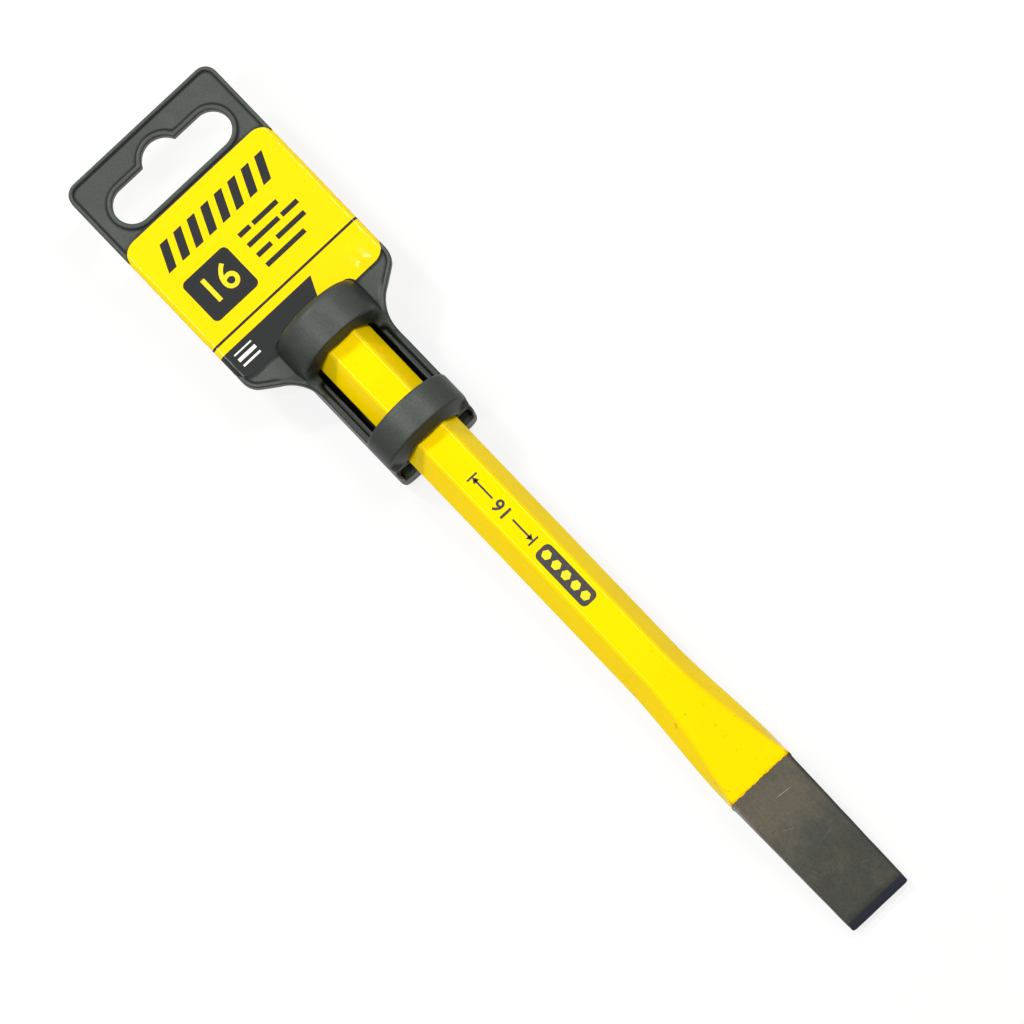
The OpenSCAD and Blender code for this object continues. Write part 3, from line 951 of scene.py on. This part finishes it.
class COLDCHISEL_OT_print_marks(bpy.types.Operator):
    """Prints a plain size mark on the bar and the size figure on the label"""

    bl_idname = "cold_chisel.print_marks"
    bl_label = "Print the marks"

    def execute(self, context):
        settings = context.scene.cold_chisel
        colours = settings.colours
        top = (settings.chisel.across_flats / 2 + settings.chisel.coat) / MM + PROUD
        # A dimension line with the width of the blade, then a plain plaque
        black = [figure("16", 3.1 * MM, 0.11 * MM, at(SIZE_MARK, 0, top), math.pi)]
        for side in (-1, 1):
            line, limit, arrow = (at(SIZE_MARK + side * x, 0, top) for x in (5.9, 9.5, 8.5))
            black.append(patch(line, (5.6, LINE)))
            black.append(patch(limit, (LINE, 2.8)))
            black.append(polygon(arrow, 3, 0.95, side * -math.pi / 2))
        black.append(patch(at(PLAQUE, 0, top), (15.8, 4.3), 1.3))
        mark = ink_film(black)
        finish_piece(mark, "size_mark", "chisel", "yellow_enamel",
                     printing_ink("Black screen print", colours.ink, colours.speck))
        row = ink_film([
            polygon(at(PLAQUE + x, 0, top + PROUD), 6, 1.15, math.pi / 6)
            for x in (-6, -3, 0, 3, 6)])
        finish_piece(row, "plaque_hexagons", "chisel", "yellow_enamel",
                     printing_ink("Yellow screen print", colours.enamel, colours.enamel_thin))
        label_top = (LABEL_HIGH.z - HEAD.z + settings.label.wave) / MM + PROUD
        badge = at((LABEL_LOW.x - HEAD.x) / MM + BADGE_DOWN, BADGE_ACROSS, label_top)
        number = ink_film([figure("16", settings.label.figure, 0.1 * MM, badge, math.pi / 2)])
        finish_piece(number, "label_figure", "hanger", "label_film",
                     printing_ink("Yellow label print", colours.film, colours.film))
        return {"FINISHED"}


# ---- stage


def resting_slope():
    """Slope of the floor that touches the socket's back edge and the underside of the bar."""
    edge = Vector((HANGER_HIGH.x, 0.0, HANGER_LOW.z))
    return edge, min(
        (v.co.z - edge.z) / (v.co.x - edge.x)
        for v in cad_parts["enamel_coat"].data.vertices
        if v.co.x > edge.x + 20 * MM
    )


def looked_at(tree):
    """Adds nodes that give 1 to the camera, to mirror images and through glass, and 0 to light."""
    path = node(tree, "LightPath").outputs
    seen = path["Is Camera Ray"]
    for ray in ("Is Glossy Ray", "Is Transmission Ray"):
        seen = node(tree, "Math", {0: seen, 1: path[ray]}, operation="ADD", use_clamp=True)
    return seen


class COLDCHISEL_OT_set_stage(bpy.types.Operator):
    """Sets the pale floor, the soft light and the camera"""

    bl_idname = "cold_chisel.set_stage"
    bl_label = "Set the stage"

    def execute(self, context):
        settings = context.scene.cold_chisel
        stage = settings.stage
        scene = context.scene
        edge, slope = resting_slope()
        fresh()
        # The floor lies a hair under the part, its middle behind the edge that the part rests on
        bpy.ops.mesh.primitive_circle_add(vertices=96, radius=320 * MM, fill_type="NGON")
        floor = context.object
        floor.name = "floor"
        floor.matrix_world = (
            Matrix.Translation(edge - Vector((0.0, 0.0, 0.1 * MM)))
            @ Matrix.Rotation(-math.atan(slope), 4, "Y") @ Matrix.Translation((-30 * MM, 0, 0))
        )
        material, tree, _, shader = finish(
            "Pale paper floor", Base_Color=settings.colours.floor, Roughness=0.9,
            Specular_IOR_Level=0.0)
        share = node(tree, "Math", {0: looked_at(tree), 1: stage.glow_share}, operation="MULTIPLY")
        glow = node(tree, "Emission", {"Color": WHITE, "Strength": stage.glow})
        mixed = node(tree, "MixShader", {0: share, 1: shader, 2: glow})
        output = next(n for n in tree.nodes if n.type == "OUTPUT_MATERIAL")
        tree.links.new(mixed.outputs[0], output.inputs["Surface"])
        floor.data.materials.append(material)

        world = bpy.data.worlds.new("Soft white room")
        scene.world = world
        world.use_nodes = True
        tree = world.node_tree
        tree.nodes.clear()
        room = node(tree, "Background", {"Color": WHITE, "Strength": stage.ambient})
        white = node(tree, "Background", {"Color": WHITE, "Strength": 1.0})
        mixed = node(tree, "MixShader", {0: looked_at(tree), 1: room, 2: white})
        node(tree, "OutputWorld", {"Surface": mixed})

        for name, power, size, place in (
            ("key", stage.key, (0.13, 0.13), (-0.84, -0.2, 0.95)),
            ("near_strip", stage.strips, (0.06, 0.5), (-0.23, -0.44, 0.98)),
            ("far_strip", stage.strips, (0.06, 0.5), (-0.23, 0.52, 0.94)),
        ):
            fresh()
            bpy.ops.object.light_add(type="AREA", location=place)
            lamp = context.object
            lamp.name = name + "_light"
            lamp.data.energy = power
            lamp.data.shape = "RECTANGLE"
            lamp.data.size, lamp.data.size_y = size
            lamp.rotation_euler = (-Vector(place)).to_track_quat("-Z", "Y").to_euler()

        fresh()
        turn = Matrix.Rotation(stage.roll, 4, "Z")
        turn = turn @ Matrix.Rotation(stage.lean, 4, "Y") @ Matrix.Rotation(stage.tilt, 4, "X")
        bpy.ops.object.camera_add()
        camera = context.object
        eye = Vector(stage.aim) + turn.to_3x3() @ Vector((0, 0, stage.distance))
        camera.matrix_world = Matrix.Translation(eye) @ turn
        camera.data.lens = camera.data.sensor_width * stage.distance / stage.frame_width
        camera.data.clip_start, camera.data.clip_end = 0.1, 20.0
        scene.camera = camera
        scene.view_settings.view_transform = "Standard"
        return {"FINISHED"}


class COLDCHISEL_PT_panel(bpy.types.Panel):
    """Steps and settings of the model"""

    bl_label = "Cold chisel"
    bl_idname = "COLDCHISEL_PT_panel"
    bl_space_type = "VIEW_3D"
    bl_region_type = "UI"
    bl_category = "Cold chisel"

    def draw(self, context):
        for step in STEPS:
            self.layout.operator(step.bl_idname)
        settings = context.scene.cold_chisel
        for part in (getattr(settings, name) for name in settings.__annotations__):
            box = self.layout.box()
            for name in part.__annotations__:
                box.prop(part, name)


STEPS = (
    COLDCHISEL_OT_forge_steel,
    COLDCHISEL_OT_dip_enamel,
    COLDCHISEL_OT_mould_hanger,
    COLDCHISEL_OT_wrap_label,
    COLDCHISEL_OT_print_marks,
    COLDCHISEL_OT_set_stage,
)
CLASSES = (
    ChiselSizes, HangerSizes, LabelSizes, FinishColours, StageSettings, ColdChiselSettings,
    *STEPS, COLDCHISEL_PT_panel,
)


def register():
    for c in CLASSES:
        bpy.utils.register_class(c)
    bpy.types.Scene.cold_chisel = bpy.props.PointerProperty(type=ColdChiselSettings)


def unregister():
    del bpy.types.Scene.cold_chisel
    for c in reversed(CLASSES):
        bpy.utils.unregister_class(c)


def main():
    """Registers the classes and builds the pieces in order."""
    register()
    for step in STEPS:
        getattr(bpy.ops.cold_chisel, step.bl_idname.split(".")[1])()


if __name__ == "__main__":
    main()
